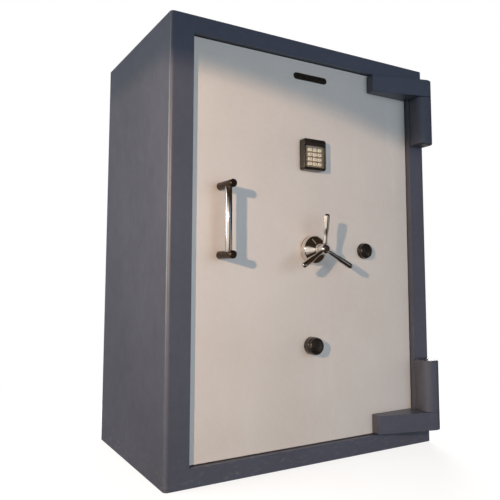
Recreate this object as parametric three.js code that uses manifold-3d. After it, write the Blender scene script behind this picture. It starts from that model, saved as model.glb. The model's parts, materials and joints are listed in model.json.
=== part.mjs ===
// Gun safe: a welded steel body with a fire barrier, a crane-hinged door and rack-driven boltwork.
// Units are millimetres. +X is the viewer's right, +Y goes into the safe, +Z is up.
// The origin is the centre of the body's footprint, on the floor.
import * as THREE from 'three';
import { mergeVertices } from 'three/addons/utils/BufferGeometryUtils.js';
import Module from 'manifold-3d';

const wasm = await Module();
wasm.setup();

// ---------------------------------------------------------------- driving dimensions
const GAP = 0.3;                    // clearance between two pieces that touch
const BODY = { width: 1143, depth: 686, height: 1524, edgeRadius: 14 };
const STILE = 83;                   // frame width beside the door
const RAIL = 60;                    // frame width above and below the door
const WALL = { steel: 6, sideFill: 50, capFill: 30, liner: 3 };
const FRAME = { plate: 12, jamb: 8, depth: 77, lip: 12 };
const DOOR = { recess: 20, plate: 12, clearance: 3, core: 24.4, boltSpace: 64, boltDepth: 36.7, cover: 6 };
const CORE_INSET = { left: 10.5, right: 6.5, ends: 6 };        // the fire filler, inside the opening
const PAN_INSET = { sides: 18.5, ends: 15, cover: 4 };         // the boltwork pan and the cover within it
const HINGE = {
  radius: 39.5, axisX: 520.5, axisInFront: 41, pinRadius: 11,
  armEndX: 280, armEndInFront: 17, armStep: 6.5, webStart: 4,
};
const HANDLE = { z: 753, drum: 50.5, drumLength: 24, coneFront: 54, boss: 17, bossFront: 92 };
const SPOKE = { reach: 127, tilt: 7 * Math.PI / 180, root: 7.9, rootLength: 38, grip: 11.2, gripStart: 62 };
const PULL = {
  x: -378, low: 725.5, high: 957, postRadius: 13.5, postLength: 98, barRadius: 12.5, barAway: 62,
};
const KEYPAD = {
  z: 1103, width: 100, height: 116, depth: 30, corner: 9, wall: 6, floor: 3,
  recess: { depth: 7, side: 7, low: 8, high: 14, corner: 4 },
};
const BADGE = { z: 1400, length: 152, height: 25, thickness: 3 };
const KEYLOCKS = {
  right: { x: 247, z: 755, radius: 30, collar: 12 },
  lower: { x: -5, z: 408, radius: 31.5, collar: 28 },
};
const KEY_COVER = { thick: 15, rim: 6, pivotRadius: 2.2, pivotInset: 8 };
const LOCK_CASE = { halfX: 30, halfZ: 40, thick: 24 };
const KEYWAY = { halfX: 1.5, halfZ: 6, depth: 14 };
const ELECTRONIC_LOCK = { left: -140, right: -74, low: 830, high: 914, thick: 33 };
const PINION = { teeth: 16, module: 2.25, pressure: 20 * Math.PI / 180, backlash: 0.4 };
const BOLT = { radius: 14, length: 62, levels: [290, HANDLE.z, 1224] };
const ANCHOR = { radius: 8, x: 400, y: 180 };

// ---------------------------------------------------------------- planes worked out from them
const frontY = -BODY.depth / 2;
const backY = BODY.depth / 2;
const sideX = BODY.width / 2;
const openX = sideX - STILE;
const openLow = RAIL;
const openHigh = BODY.height - RAIL;
const doorFaceY = frontY + DOOR.recess;
const plateBackY = doorFaceY + DOOR.plate;
const coreBackY = plateBackY + GAP + DOOR.core;
const boltBackY = coreBackY + GAP + DOOR.boltSpace;
const boltY = coreBackY + DOOR.boltDepth;
const hingeY = frontY - HINGE.axisInFront;
const linerX = sideX - WALL.steel - WALL.sideFill - WALL.liner;
const linerLow = WALL.steel + WALL.capFill + WALL.liner;
const linerHigh = BODY.height - linerLow;
const linerBackY = backY - WALL.steel - WALL.sideFill - WALL.liner;
const frameBackY = frontY + FRAME.depth;
const pitchRadius = PINION.teeth * PINION.module / 2;

// ---------------------------------------------------------------- materials
const finish = (color, roughness, metalness) =>
  new THREE.MeshStandardMaterial({ color, roughness, metalness });
const bodyPaint = finish(0x5b6572, 0.5, 0.1);
const doorPaint = finish(0xd6cbc0, 0.4, 0.05);
const chrome = finish(0xdcdcde, 0.12, 1.0);
const darkBronze = finish(0x35281f, 0.35, 0.8);
const black = finish(0x14120f, 0.4, 0.1);
const champagne = finish(0xb9a684, 0.4, 0.6);
const keyCream = finish(0xe9dfc8, 0.45, 0.0);
const concrete = finish(0x9a958c, 0.95, 0.0);
const bareSteel = finish(0x8c8f92, 0.4, 0.9);
const zinc = finish(0xa9abad, 0.35, 0.9);
const carpet = finish(0x5a5550, 0.95, 0.0);
const sealBlack = finish(0x2a2a2a, 0.8, 0.0);

// ---------------------------------------------------------------- shapes
const box = (low, high) => {
  const size = high.map((value, i) => value - low[i]);
  const centre = high.map((value, i) => (value + low[i]) / 2);
  return new THREE.BoxGeometry(...size).translate(...centre);
};

const extrude = (shape, depth, curveSegments) =>
  new THREE.ExtrudeGeometry(shape, { depth, bevelEnabled: false, curveSegments });

// A plan outline (x, y) raised from z0 to z1.
const risen = (shape, z0, z1, curveSegments = 8) =>
  extrude(shape, z1 - z0, curveSegments).translate(0, 0, z0);

// A front outline (x, z) taken through the depth from y0 to y1.
const deep = (shape, y0, y1, curveSegments = 8) =>
  extrude(shape, y1 - y0, curveSegments).rotateX(Math.PI / 2).translate(0, y1, 0);

const rectangle = (x0, y0, x1, y1, Kind = THREE.Shape) => {
  const shape = new Kind();
  shape.moveTo(x0, y0);
  shape.lineTo(x1, y0);
  shape.lineTo(x1, y1);
  shape.lineTo(x0, y1);
  shape.closePath();
  return shape;
};

const roundedRectangle = (x0, y0, x1, y1, radius) => {
  const shape = new THREE.Shape();
  shape.moveTo(x0 + radius, y0);
  shape.lineTo(x1 - radius, y0);
  shape.absarc(x1 - radius, y0 + radius, radius, -Math.PI / 2, 0, false);
  shape.lineTo(x1, y1 - radius);
  shape.absarc(x1 - radius, y1 - radius, radius, 0, Math.PI / 2, false);
  shape.lineTo(x0 + radius, y1);
  shape.absarc(x0 + radius, y1 - radius, radius, Math.PI / 2, Math.PI, false);
  shape.lineTo(x0, y0 + radius);
  shape.absarc(x0 + radius, y0 + radius, radius, Math.PI, Math.PI * 1.5, false);
  return shape;
};

// A rectangular ring seen from the front: inner edges, then its width at the sides and at the ends.
const ring = (halfX, low, high, width, capWidth, y0, y1) => {
  const shape = rectangle(-halfX - width, low - capWidth, halfX + width, high + capWidth);
  shape.holes.push(rectangle(-halfX, low, halfX, high, THREE.Path));
  return deep(shape, y0, y1);
};

const rodAlongY = (x, z, radius, y0, y1, segments = 24) =>
  new THREE.CylinderGeometry(radius, radius, y1 - y0, segments).translate(x, (y0 + y1) / 2, z);

const rodAlongX = (y, z, radius, x0, x1, segments = 24) =>
  new THREE.CylinderGeometry(radius, radius, x1 - x0, segments).rotateZ(Math.PI / 2)
    .translate((x0 + x1) / 2, y, z);

const rodAlongZ = (x, y, radius, z0, z1, segments = 24) =>
  new THREE.CylinderGeometry(radius, radius, z1 - z0, segments).rotateX(Math.PI / 2)
    .translate(x, y, (z0 + z1) / 2);

// A turned piece that stands out of the door: profile points are [radius, distance from the door].
const turned = (profile, segments = 32) => {
  const points = profile.map(([radius, away]) => new THREE.Vector2(radius, away));
  return new THREE.LatheGeometry(points, segments).rotateX(Math.PI);
};

// ---------------------------------------------------------------- joining and cutting
const toSolid = (geometry) => {
  const bare = geometry.clone();
  for (const name of ['normal', 'uv']) bare.deleteAttribute(name);
  const merged = mergeVertices(bare, 1e-4);
  const corners = merged.index.array;
  const kept = [];
  for (let i = 0; i < corners.length; i += 3) {
    const [a, b, c] = [corners[i], corners[i + 1], corners[i + 2]];
    if (a !== b && b !== c && c !== a) kept.push(a, b, c);
  }
  return new wasm.Manifold(new wasm.Mesh({
    numProp: 3,
    vertProperties: Float32Array.from(merged.attributes.position.array),
    triVerts: Uint32Array.from(kept),
  }));
};

const toGeometry = (solid) => {
  const { vertProperties, triVerts } = solid.getMesh();
  const geometry = new THREE.BufferGeometry();
  geometry.setAttribute('position', new THREE.BufferAttribute(vertProperties, 3));
  geometry.setIndex(new THREE.BufferAttribute(triVerts, 1));
  geometry.computeVertexNormals();
  return geometry;
};

const joined = (...geometries) =>
  toGeometry(geometries.map(toSolid).reduce((whole, part) => whole.add(part)));

const cut = (geometry, ...cutters) =>
  toGeometry(cutters.map(toSolid).reduce((rest, cutter) => rest.subtract(cutter), toSolid(geometry)));

const common = (first, second) => toGeometry(toSolid(first).intersect(toSolid(second)));

// ---------------------------------------------------------------- scene graph
const groupAt = (parent, name, x = 0, y = 0, z = 0) => {
  const group = new THREE.Group();
  group.name = name;
  group.position.set(x, y, z);
  parent.add(group);
  return group;
};

const addPiece = (parent, name, geometry, material) => {
  const mesh = new THREE.Mesh(geometry, material);
  mesh.name = name;
  parent.add(mesh);
  return mesh;
};

const safe = new THREE.Group();
safe.name = 'gun_safe';
const body = groupAt(safe, 'body');
const door = groupAt(safe, 'door');

// ---------------------------------------------------------------- body shell, barrier and frame
const anchorHoles = (z0, z1, radius) => [-1, 1].flatMap((sx) =>
  [-1, 1].map((sy) => rodAlongZ(sx * ANCHOR.x, sy * ANCHOR.y, radius, z0, z1, 12)));

const footprint = roundedRectangle(-sideX, frontY, sideX, backY, BODY.edgeRadius);
const framePlateBackY = frontY + FRAME.plate;

const makeOuterShell = () => {
  const block = cut(risen(footprint, 0, BODY.height), box(
    [-sideX - 1, frontY - 1, -1],
    [sideX + 1, framePlateBackY + GAP, BODY.height + 1],
  ));
  const hollow = box(
    [-sideX + WALL.steel, frontY, WALL.steel],
    [sideX - WALL.steel, backY - WALL.steel, BODY.height - WALL.steel],
  );
  return cut(block, hollow, ...anchorHoles(-1, WALL.steel + 1, ANCHOR.radius));
};

const makeFill = () => {
  const inset = WALL.steel + GAP;
  const block = box(
    [-sideX + inset, framePlateBackY + GAP, inset],
    [sideX - inset, backY - inset, BODY.height - inset],
  );
  const jambX = openX + FRAME.jamb + GAP;
  const jambRoom = box(
    [-jambX, frontY, openLow - FRAME.jamb - GAP],
    [jambX, 0, openHigh + FRAME.jamb + GAP],
  );
  const outside = WALL.liner + GAP;
  const linerRoom = box(
    [-linerX - outside, frameBackY - FRAME.lip - GAP, linerLow - outside],
    [linerX + outside, linerBackY + outside, linerHigh + outside],
  );
  return cut(block, jambRoom, linerRoom, ...anchorHoles(0, linerLow + 1, ANCHOR.radius));
};

const makeFrontFrame = () => {
  const plate = common(
    risen(footprint, 0, BODY.height),
    ring(openX, openLow, openHigh, STILE, RAIL, frontY, framePlateBackY),
  );
  const lipWidth = linerX + WALL.liner - openX;
  const lipCap = linerHigh + WALL.liner - openHigh;
  return joined(
    plate,
    ring(openX, openLow, openHigh, FRAME.jamb, FRAME.jamb, framePlateBackY - 1, frameBackY),
    ring(openX, openLow, openHigh, lipWidth, lipCap, frameBackY - FRAME.lip, frameBackY),
  );
};

const makeLiner = () => {
  const t = WALL.liner;
  const outer = box(
    [-linerX - t, frameBackY + GAP, linerLow - t],
    [linerX + t, linerBackY + t, linerHigh + t],
  );
  const hollow = box([-linerX, frontY, linerLow], [linerX, linerBackY, linerHigh]);
  return cut(outer, hollow, ...anchorHoles(linerLow - t - 1, linerLow + 1, ANCHOR.radius));
};

addPiece(body, 'outer_shell', makeOuterShell(), bodyPaint);
addPiece(body, 'composite_fill', makeFill(), concrete);
addPiece(body, 'front_frame', makeFrontFrame(), bodyPaint);
addPiece(body, 'inner_liner', makeLiner(), bareSteel);

const SEAL = { thick: 3, front: doorFaceY + 18, back: doorFaceY + 33 };
addPiece(body, 'door_seal', ring(openX - SEAL.thick - GAP, openLow + SEAL.thick + GAP,
  openHigh - SEAL.thick - GAP, SEAL.thick, SEAL.thick, SEAL.front, SEAL.back), sealBlack);

// ---------------------------------------------------------------- interior fittings
const CARPET = { thick: 4, front: boltBackY + 24, fittingsInset: 12 };
const carpetX = linerX - GAP - CARPET.thick;
const carpetLow = linerLow + GAP + CARPET.thick;
const carpetHigh = linerHigh - GAP - CARPET.thick;
const carpetBackY = linerBackY - GAP - CARPET.thick;
const BOARD = 16;
const fittingsFrontY = CARPET.front + CARPET.fittingsInset;
const fittingsBackY = carpetBackY - GAP;
const dividerX = 60;
const topShelfZ = 1200;
const sideShelfZ = 640;

const makeCarpet = () => cut(
  box([-carpetX - CARPET.thick, CARPET.front, carpetLow - CARPET.thick],
    [carpetX + CARPET.thick, carpetBackY + CARPET.thick, carpetHigh + CARPET.thick]),
  box([-carpetX, frontY, carpetLow], [carpetX, carpetBackY, carpetHigh]),
  ...anchorHoles(carpetLow - CARPET.thick - 1, carpetLow + 1, ANCHOR.radius),
);

const board = (x0, x1, z0, z1) => box([x0, fittingsFrontY, z0], [x1, fittingsBackY, z1]);

addPiece(body, 'carpet_lining', makeCarpet(), carpet);
addPiece(body, 'divider_panel', board(dividerX, dividerX + BOARD, carpetLow + GAP, topShelfZ), carpet);
addPiece(body, 'top_shelf',
  board(-carpetX + GAP, carpetX - GAP, topShelfZ + GAP, topShelfZ + GAP + BOARD), carpet);
addPiece(body, 'side_shelf',
  board(dividerX + BOARD + GAP, carpetX - GAP, sideShelfZ, sideShelfZ + BOARD), carpet);

// A long-gun rack: a rail with round notches for the barrels over a raised, carpeted base for the butts.
const RACK = {
  places: 7, pitch: 76, notch: 19, notchInset: 6, railZ: 985, railThick: 24, railFrontY: 196, baseThick: 22,
};
const rackX = (i) => (dividerX - carpetX) / 2 + (i - (RACK.places - 1) / 2) * RACK.pitch;

const makeBarrelRack = () => {
  const rail = box(
    [-carpetX + GAP, RACK.railFrontY, RACK.railZ],
    [dividerX - GAP, fittingsBackY, RACK.railZ + RACK.railThick],
  );
  const notches = Array.from({ length: RACK.places }, (_, i) =>
    rodAlongZ(rackX(i), RACK.railFrontY + RACK.notchInset, RACK.notch,
      RACK.railZ - 1, RACK.railZ + RACK.railThick + 1, 16));
  return cut(rail, ...notches);
};

addPiece(body, 'barrel_rack', makeBarrelRack(), carpet);
addPiece(body, 'butt_rest', box(
  [-carpetX + GAP, 0, carpetLow + GAP],
  [dividerX - GAP, fittingsBackY, carpetLow + GAP + RACK.baseThick],
), carpet);

// ---------------------------------------------------------------- crane hinges
const hingeLevels = {
  top: { leg: [1194, 1388], arm: [1388.5, 1458], pin: [1206, 1450] },
  bottom: { leg: [134.5, 330], arm: [66, 134], pin: [74, 318] },
};

const legPlan = () => {
  const webLeft = openX + HINGE.webStart;
  const webRight = HINGE.axisX + HINGE.radius;
  const shape = new THREE.Shape();
  shape.moveTo(webLeft, frontY - GAP);
  shape.lineTo(HINGE.axisX - HINGE.radius, hingeY);
  shape.absarc(HINGE.axisX, hingeY, HINGE.radius, Math.PI, Math.PI * 2, false);
  shape.lineTo(webRight, frontY - GAP);
  shape.closePath();
  return shape;
};

const armPlan = () => {
  const endY = frontY - HINGE.armEndInFront;
  const awayX = HINGE.armEndX - HINGE.axisX;
  const awayY = endY - hingeY;
  const backFaceY = hingeY + HINGE.radius;
  const stepX = openX - HINGE.armStep;
  const lean = Math.asin(HINGE.radius / Math.hypot(awayX, awayY)) + Math.atan2(awayY, -awayX);
  const shape = new THREE.Shape();
  shape.moveTo(HINGE.armEndX, doorFaceY - GAP);
  shape.lineTo(HINGE.armEndX, endY);
  shape.absarc(HINGE.axisX, hingeY, HINGE.radius, Math.PI * 1.5 - lean, Math.PI * 2.5, false);
  shape.lineTo(stepX, backFaceY);
  shape.lineTo(stepX, doorFaceY - GAP);
  shape.closePath();
  return shape;
};

for (const [place, { leg, arm, pin }] of Object.entries(hingeLevels)) {
  const room = rodAlongZ(HINGE.axisX, hingeY, HINGE.pinRadius + GAP, pin[0] - GAP, pin[1] + GAP, 24);
  const pinSolid = rodAlongZ(HINGE.axisX, hingeY, HINGE.pinRadius, pin[0], pin[1], 24);
  addPiece(body, `hinge_leg_${place}`, cut(risen(legPlan(), ...leg, 24), room), bodyPaint);
  addPiece(body, `hinge_pin_${place}`, pinSolid, bareSteel);
  addPiece(door, `hinge_arm_${place}`, cut(risen(armPlan(), ...arm, 24), room), bodyPaint);
}

// ---------------------------------------------------------------- door leaf
const cylinderRadius = 10;          // key cylinder that reaches through the door
const spindleRadius = 8;
const cableHole = 7;
const lockPlaces = Object.values(KEYLOCKS);

const doorHoles = (extra) => [
  rodAlongY(0, HANDLE.z, spindleRadius + extra, frontY, 0, 20),
  rodAlongY(0, KEYPAD.z, cableHole, frontY, 0, 12),
  ...lockPlaces.map(({ x, z }) => rodAlongY(x, z, cylinderRadius + extra, frontY, 0, 20)),
];

const plateX = openX - DOOR.clearance;
addPiece(door, 'door_plate', cut(box(
  [-plateX, doorFaceY, openLow + DOOR.clearance],
  [plateX, plateBackY, openHigh - DOOR.clearance],
), ...doorHoles(0.5)), doorPaint);
addPiece(door, 'door_core', cut(box(
  [-openX + CORE_INSET.left, plateBackY + GAP, openLow + CORE_INSET.ends],
  [openX - CORE_INSET.right, coreBackY, openHigh - CORE_INSET.ends],
), ...doorHoles(1)), concrete);

// A sheet-steel pan holds the boltwork; its flanges guide the bolts.
const PAN = {
  halfX: openX - PAN_INSET.sides, low: openLow + PAN_INSET.ends, high: openHigh - PAN_INSET.ends, sheet: 5,
};
const railOffsetX = 26;             // the vertical bolts stand either side of the spindle
const guideRadius = BOLT.radius + 0.4;

const makePan = () => {
  const flanges = ring(PAN.halfX - PAN.sheet, PAN.low + PAN.sheet, PAN.high - PAN.sheet,
    PAN.sheet, PAN.sheet, coreBackY + GAP, boltBackY);
  const sideGuides = BOLT.levels.map((z) =>
    rodAlongX(boltY, z, guideRadius, -PAN.halfX - 1, PAN.halfX + 1, 20));
  const topGuide = rodAlongZ(railOffsetX, boltY, guideRadius, PAN.high - 20, PAN.high + 1, 20);
  const lowGuide = rodAlongZ(-railOffsetX, boltY, guideRadius, PAN.low - 1, PAN.low + 20, 20);
  return cut(flanges, ...sideGuides, topGuide, lowGuide);
};

addPiece(door, 'boltwork_pan', makePan(), zinc);
addPiece(door, 'door_back_cover', box(
  [-PAN.halfX + PAN_INSET.cover, boltBackY + GAP, PAN.low + PAN_INSET.cover],
  [PAN.halfX - PAN_INSET.cover, boltBackY + GAP + DOOR.cover, PAN.high - PAN_INSET.cover],
), carpet);

// ---------------------------------------------------------------- locks
const lockFrontY = coreBackY + GAP;
addPiece(door, 'electronic_lock', box(
  [ELECTRONIC_LOCK.left, lockFrontY, ELECTRONIC_LOCK.low],
  [ELECTRONIC_LOCK.right, lockFrontY + ELECTRONIC_LOCK.thick, ELECTRONIC_LOCK.high],
), black);

// Each key lock is one case with a cylinder that reaches the front of its escutcheon.
for (const [place, lock] of Object.entries(KEYLOCKS)) {
  const { x, z, radius, collar } = lock;
  const collarFrontY = doorFaceY - GAP - collar;
  const lockCase = joined(
    box(
      [x - LOCK_CASE.halfX, lockFrontY, z - LOCK_CASE.halfZ],
      [x + LOCK_CASE.halfX, lockFrontY + LOCK_CASE.thick, z + LOCK_CASE.halfZ],
    ),
    rodAlongY(x, z, cylinderRadius, collarFrontY, lockFrontY + 1, 20),
  );
  const slot = box(
    [x - KEYWAY.halfX, collarFrontY - 1, z - KEYWAY.halfZ],
    [x + KEYWAY.halfX, collarFrontY + KEYWAY.depth, z + KEYWAY.halfZ],
  );
  addPiece(door, `key_lock_${place}`, cut(lockCase, slot), zinc);

  const pivotRise = radius - KEY_COVER.pivotInset;
  const site = groupAt(door, `key_site_${place}`, x, doorFaceY - GAP, z);
  const escutcheon = turned([
    [0, 0], [radius, 0], [radius, collar - 3], [radius - 3, collar], [0, collar],
  ], 28);
  addPiece(site, `key_escutcheon_${place}`, cut(
    escutcheon,
    rodAlongY(0, 0, cylinderRadius + GAP, -collar - 1, 1, 20),
    rodAlongY(0, pivotRise, KEY_COVER.pivotRadius + GAP, -collar - 1, -collar + 6, 12),
  ), black);

  const coverBack = collar + 0.5;
  const crown = coverBack + KEY_COVER.thick;
  const rimFront = coverBack + KEY_COVER.rim;
  const cover = turned([
    [0, coverBack], [radius - 1, coverBack], [radius - 1, rimFront],
    [radius - 5, (rimFront + crown) / 2], [radius - 12, crown - 1.5], [0, crown],
  ], 28);
  const pivot = rodAlongY(0, pivotRise, KEY_COVER.pivotRadius, -coverBack - 2, -collar + 5, 12);
  addPiece(site, `key_cover_${place}`, joined(cover, pivot), black);
}

// ---------------------------------------------------------------- three-spoke handle
const handle = groupAt(door, 'handle', 0, doorFaceY - 0.5, HANDLE.z);
// The drum's front is a shallow cone: [share of the radius beyond the boss, share of the cone's depth].
const coneCurve = [[1, 0], [0.94, 0.15], [0.81, 0.28], [0.45, 0.52], [0.18, 0.7], [0.045, 0.83], [0, 1]];
const hubProfile = [
  [0, 0], [HANDLE.drum, 0],
  ...coneCurve.map(([out, along]) => [
    HANDLE.boss + (HANDLE.drum - HANDLE.boss) * out,
    HANDLE.drumLength + (HANDLE.coneFront - HANDLE.drumLength) * along,
  ]),
  [HANDLE.boss, HANDLE.bossFront - 5], [HANDLE.boss - 5, HANDLE.bossFront], [0, HANDLE.bossFront],
];
const spindleReach = 30;            // how far the spindle sits inside the hub
const spindleEndY = boltBackY - doorFaceY - 6;
addPiece(handle, 'handle_hub', cut(
  turned(hubProfile, 32),
  rodAlongY(0, 0, spindleRadius + GAP, -spindleReach - GAP, 1, 20),
), chrome);

// A spoke is turned along its own axis: a slim root that swells into the grip.
const spokeRootAway = HANDLE.bossFront - 12;
const spokeStart = HANDLE.boss - 5;
const gripEnd = SPOKE.reach - spokeStart;
const spokeProfile = [
  [0, 0], [SPOKE.root, 0], [SPOKE.root, SPOKE.rootLength], [SPOKE.grip - 0.4, SPOKE.gripStart],
  [SPOKE.grip, gripEnd - 11], [SPOKE.grip - 0.8, gripEnd - 5], [SPOKE.grip * 0.6, gripEnd - 1], [0, gripEnd],
];
['up', 'right', 'left'].forEach((place, i) => {
  const points = spokeProfile.map(([radius, along]) => new THREE.Vector2(radius, along));
  const straight = new THREE.LatheGeometry(points, 20).rotateX(Math.PI / 2 + SPOKE.tilt)
    .translate(0, -spokeRootAway, spokeStart);
  const bossRoom = rodAlongY(0, 0, HANDLE.boss + GAP, -HANDLE.bossFront - 20, 0, 36);
  addPiece(handle, `spoke_${place}`, cut(straight, bossRoom), chrome).rotation.y = i * 2 * Math.PI / 3;
});

// ---------------------------------------------------------------- rack-and-pinion boltwork
const involute = (angle) => Math.tan(angle) - angle;
const addendum = 0.85 * PINION.module;
const dedendum = 1.1 * PINION.module;
const baseRadius = pitchRadius * Math.cos(PINION.pressure);

const toothHalfAngle = (radius) => {
  const slope = radius > baseRadius ? involute(Math.acos(baseRadius / radius)) : 0;
  const atPitch = Math.PI / (2 * PINION.teeth) - PINION.backlash / (2 * pitchRadius);
  return atPitch + involute(PINION.pressure) - slope;
};

const pinionOutline = () => {
  const radii = [pitchRadius - dedendum, baseRadius, pitchRadius, pitchRadius + addendum];
  const points = [];
  for (let tooth = 0; tooth < PINION.teeth; tooth += 1) {
    const centre = (tooth + 0.5) * 2 * Math.PI / PINION.teeth;
    const flank = radii.map((r) => [r, toothHalfAngle(r)]);
    const rising = flank.map(([r, half]) => [r, centre - half]);
    const falling = flank.reverse().map(([r, half]) => [r, centre + half]);
    for (const [r, angle] of [...rising, ...falling]) {
      points.push(new THREE.Vector2(r * Math.cos(angle), r * Math.sin(angle)));
    }
  }
  return new THREE.Shape(points);
};

// A rack outline with its teeth towards the pinion's centre: s runs along it, h away from the centre.
const RACKBAR = { before: 2, after: 6, thick: 10, offset: 0.15, end: 46 };
const rackOutline = (start, end, place) => {
  const pitch = Math.PI * PINION.module;
  const tipHeight = pitchRadius + RACKBAR.offset - addendum;
  const rootHeight = pitchRadius + RACKBAR.offset + dedendum;
  const halfAtPitch = pitch / 4 - PINION.backlash / 2;
  const halfTip = halfAtPitch - addendum * Math.tan(PINION.pressure);
  const halfRoot = halfAtPitch + dedendum * Math.tan(PINION.pressure);
  const points = [[start, rootHeight + RACKBAR.thick], [start, rootHeight]];
  for (let tooth = -RACKBAR.before; tooth <= RACKBAR.after; tooth += 1) {
    const s = tooth * pitch;
    points.push([s - halfRoot, rootHeight], [s - halfTip, tipHeight]);
    points.push([s + halfTip, tipHeight], [s + halfRoot, rootHeight]);
  }
  points.push([end, rootHeight], [end, rootHeight + RACKBAR.thick]);
  return new THREE.Shape(points.map(([s, h]) => new THREE.Vector2(...place(s, h))));
};

const LAYER = { sideways: [boltY - 8, boltY + 1], upright: [boltY + 5, boltY + 14] };
addPiece(handle, 'drive_spindle', joined(
  rodAlongY(0, 0, spindleRadius, -spindleReach, spindleEndY, 20),
  deep(pinionOutline(), LAYER.sideways[0] - 2, LAYER.upright[1] + 2, 4).translate(0, -handle.position.y, 0),
), bareSteel);

// Side carriages: a flat bar carrying the bolts, with a rack reaching to the pinion.
const boltTipX = PAN.halfX + 4;
const barX = boltTipX - BOLT.length - GAP;
const BAR = { thick: 12, halfY: 17, low: 250, high: 1264 };
for (const side of [-1, 1]) {
  const place = side < 0 ? 'left' : 'right';
  const rack = rackOutline(4 - barX, RACKBAR.end, (s, h) => [-side * s, HANDLE.z - side * h]);
  const bar = box(
    [Math.min(side * barX, side * (barX - BAR.thick)), boltY - BAR.halfY, BAR.low],
    [Math.max(side * barX, side * (barX - BAR.thick)), boltY + BAR.halfY, BAR.high],
  );
  addPiece(door, `bolt_bar_${place}`, joined(bar, deep(rack, ...LAYER.sideways)), zinc);
  BOLT.levels.forEach((z, i) => {
    const ends = [side * (barX + GAP), side * boltTipX].sort((a, b) => a - b);
    addPiece(door, `locking_bolt_${place}_${i + 1}`, rodAlongX(boltY, z, BOLT.radius, ...ends, 24), chrome);
  });
}

// Upright rods: each is a rack, a rod and a bolt in one piece.
const boltTipHigh = PAN.high + 3;
const boltTipLow = PAN.low - 3;
const rodIntoBolt = 8;
const reachHigh = boltTipHigh - BOLT.length - HANDLE.z + rodIntoBolt;
const reachLow = HANDLE.z - boltTipLow - BOLT.length + rodIntoBolt;
const upper = rackOutline(-reachHigh, RACKBAR.end, (s, h) => [h, HANDLE.z - s]);
const lower = rackOutline(-reachLow, RACKBAR.end, (s, h) => [-h, HANDLE.z + s]);
addPiece(door, 'bolt_rod_top', joined(
  deep(upper, ...LAYER.upright),
  rodAlongZ(railOffsetX, boltY, BOLT.radius, boltTipHigh - BOLT.length, boltTipHigh, 24),
), chrome);
addPiece(door, 'bolt_rod_bottom', joined(
  deep(lower, ...LAYER.upright),
  rodAlongZ(-railOffsetX, boltY, BOLT.radius, boltTipLow, boltTipLow + BOLT.length, 24),
), chrome);

// ---------------------------------------------------------------- pull handle
const pull = groupAt(door, 'pull_handle', PULL.x, doorFaceY - GAP, 0);
const postProfile = [
  [0, 0], [PULL.postRadius, 0], [PULL.postRadius, PULL.postLength - 3],
  [PULL.postRadius - 3, PULL.postLength], [0, PULL.postLength],
];
for (const [place, z] of [['lower', PULL.low], ['upper', PULL.high]]) {
  addPiece(pull, `pull_post_${place}`, turned(postProfile, 28), darkBronze).position.z = z;
}
const postRoom = (z) => rodAlongY(0, z, PULL.postRadius + GAP, -PULL.postLength, 0, 28);
addPiece(pull, 'pull_bar', cut(
  rodAlongZ(0, -PULL.barAway, PULL.barRadius, PULL.low, PULL.high, 28),
  postRoom(PULL.low),
  postRoom(PULL.high),
), chrome);

// ---------------------------------------------------------------- badge
addPiece(door, 'badge_plate', deep(
  roundedRectangle(-BADGE.length / 2, BADGE.z - BADGE.height / 2, BADGE.length / 2,
    BADGE.z + BADGE.height / 2, BADGE.height / 2 - 0.5),
  doorFaceY - GAP - BADGE.thickness, doorFaceY - GAP, 8), black);

// ---------------------------------------------------------------- keypad
const keypad = groupAt(door, 'keypad', 0, doorFaceY - GAP, KEYPAD.z);
const KEY = { width: 17, height: 13, pitchX: 22, pitchZ: 17.5, proud: 4, length: 10, shiftZ: -9 };
const faceY = -KEYPAD.depth + KEYPAD.recess.depth;
const keyPlaces = [0, 1, 2, 3].flatMap((row) => [-1, 0, 1].map((column) => ({
  x: column * KEY.pitchX,
  z: (1.5 - row) * KEY.pitchZ + KEY.shiftZ,
})));

const makeHousing = () => {
  const halfX = KEYPAD.width / 2;
  const halfZ = KEYPAD.height / 2;
  const { side, low, high, corner } = KEYPAD.recess;
  const shell = deep(roundedRectangle(-halfX, -halfZ, halfX, halfZ, KEYPAD.corner), -KEYPAD.depth, 0, 5);
  const recess = deep(
    roundedRectangle(-halfX + side, -halfZ + low, halfX - side, halfZ - high, corner),
    -KEYPAD.depth - 1, faceY, 4,
  );
  const hollow = box(
    [-halfX + KEYPAD.wall, faceY + KEYPAD.floor, -halfZ + KEYPAD.wall],
    [halfX - KEYPAD.wall, 1, halfZ - KEYPAD.wall],
  );
  const keyHoles = keyPlaces.map(({ x, z }) => box(
    [x - KEY.width / 2 - GAP, faceY - 1, z - KEY.height / 2 - GAP],
    [x + KEY.width / 2 + GAP, faceY + 4, z + KEY.height / 2 + GAP],
  ));
  return cut(shell, recess, hollow, ...keyHoles);
};

addPiece(keypad, 'keypad_housing', makeHousing(), champagne);
keyPlaces.forEach(({ x, z }, i) => {
  const key = box(
    [-KEY.width / 2, faceY - KEY.proud, -KEY.height / 2],
    [KEY.width / 2, faceY - KEY.proud + KEY.length, KEY.height / 2],
  );
  addPiece(keypad, `key_${String(i + 1).padStart(2, '0')}`, key, keyCream).position.set(x, 0, z);
});

export default safe;
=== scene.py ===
"""Looks for the gun safe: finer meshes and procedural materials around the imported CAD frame.

Units are metres in the CAD frame: +X to the right of a person facing the door, +Y into the safe, +Z up.
Positions come from the boxes of the CAD nodes; the sizes below only shape edges and surface detail.
"""

import json
import math

import bmesh
import bpy
from mathutils import Matrix, Vector


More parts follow.
